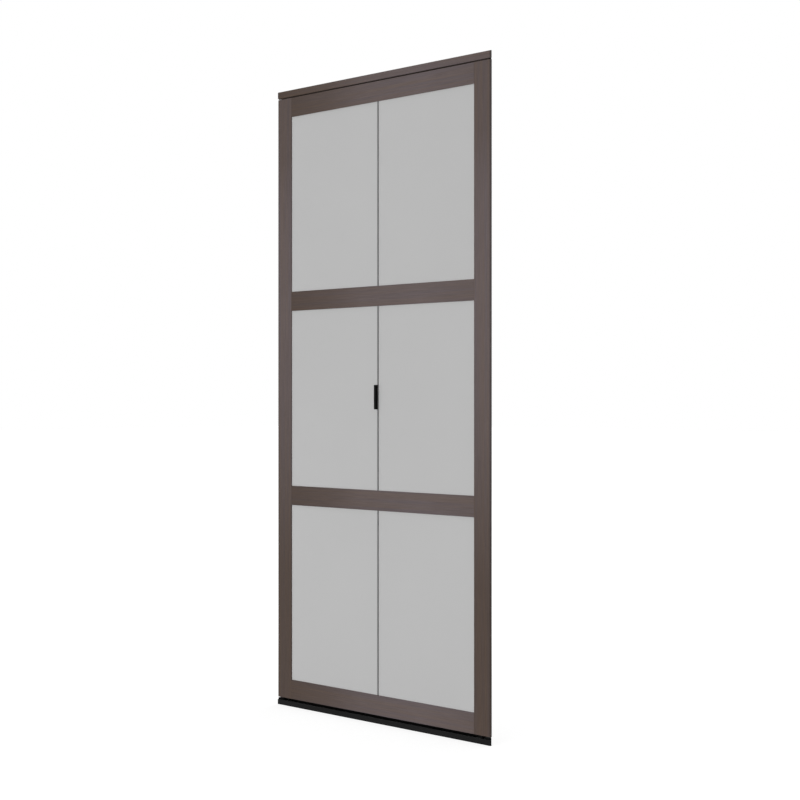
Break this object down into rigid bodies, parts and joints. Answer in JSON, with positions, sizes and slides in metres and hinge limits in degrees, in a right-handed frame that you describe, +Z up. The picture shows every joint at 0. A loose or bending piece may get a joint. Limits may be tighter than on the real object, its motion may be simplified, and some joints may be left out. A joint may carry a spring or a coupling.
{
  "type": "folding door",
  "caption": "Two-leaf folding closet door, dark brown wrapped frames with pale grey glass lites, top fascia, black bottom track and a small black finger pull",
  "frame": {"origin": "underside of the bottom track, on the centre line of the opening and in the leaves' mid plane", "axes": "+X along the width to the right, seen from the front; the front faces -Y; +Z up"},
  "size_m": [0.9124, 0.0302, 2.0447],
  "materials": {
    "wrapped_frame": "satin dark brown wood-grain foil on a composite core",
    "frosted_glass": "pale grey back-painted glass with a smooth satin face, opaque",
    "dark_track": "satin dark brown enamel",
    "black_track": "satin black enamel",
    "black_plastic": "matt black moulding",
    "black_rubber": "matt black rubber",
    "black_steel": "black oxide on turned steel",
    "zinc_steel": "bright zinc plating"
  },
  "bodies": {
    "root": {"bottom_end_stop": "black_rubber", "bottom_guide_cap": "black_plastic", "bottom_guide_pin": "black_steel", "bottom_hinge_jamb_plate": "zinc_steel", "bottom_hinge_lead_plate": "zinc_steel", "bottom_pivot_bracket": "black_plastic", "bottom_pivot_pin": "black_steel", "bottom_track": "black_track", "finger_pull": "black_plastic", "jamb_leaf_bottom_glass": "frosted_glass", "jamb_leaf_bottom_rail": "wrapped_frame", "jamb_leaf_lower_mid_rail": "wrapped_frame", "jamb_leaf_meeting_stile": "wrapped_frame", "jamb_leaf_middle_glass": "frosted_glass", "jamb_leaf_outer_stile": "wrapped_frame", "jamb_leaf_top_glass": "frosted_glass", "jamb_leaf_top_rail": "wrapped_frame", "jamb_leaf_upper_mid_rail": "wrapped_frame", "lead_leaf_bottom_glass": "frosted_glass", "lead_leaf_bottom_rail": "wrapped_frame", "lead_leaf_lower_mid_rail": "wrapped_frame", "lead_leaf_meeting_stile": "wrapped_frame", "lead_leaf_middle_glass": "frosted_glass", "lead_leaf_outer_stile": "wrapped_frame", "lead_leaf_top_glass": "frosted_glass", "lead_leaf_top_rail": "wrapped_frame", "lead_leaf_upper_mid_rail": "wrapped_frame", "middle_hinge_jamb_plate": "zinc_steel", "middle_hinge_lead_plate": "zinc_steel", "top_fascia": "wrapped_frame", "top_guide_cap": "black_plastic", "top_guide_pin": "black_steel", "top_hinge_jamb_plate": "zinc_steel", "top_hinge_lead_plate": "zinc_steel", "top_pivot_bracket": "black_plastic", "top_pivot_pin": "black_steel", "top_track": "dark_track"}
  },
  "joints": []
}
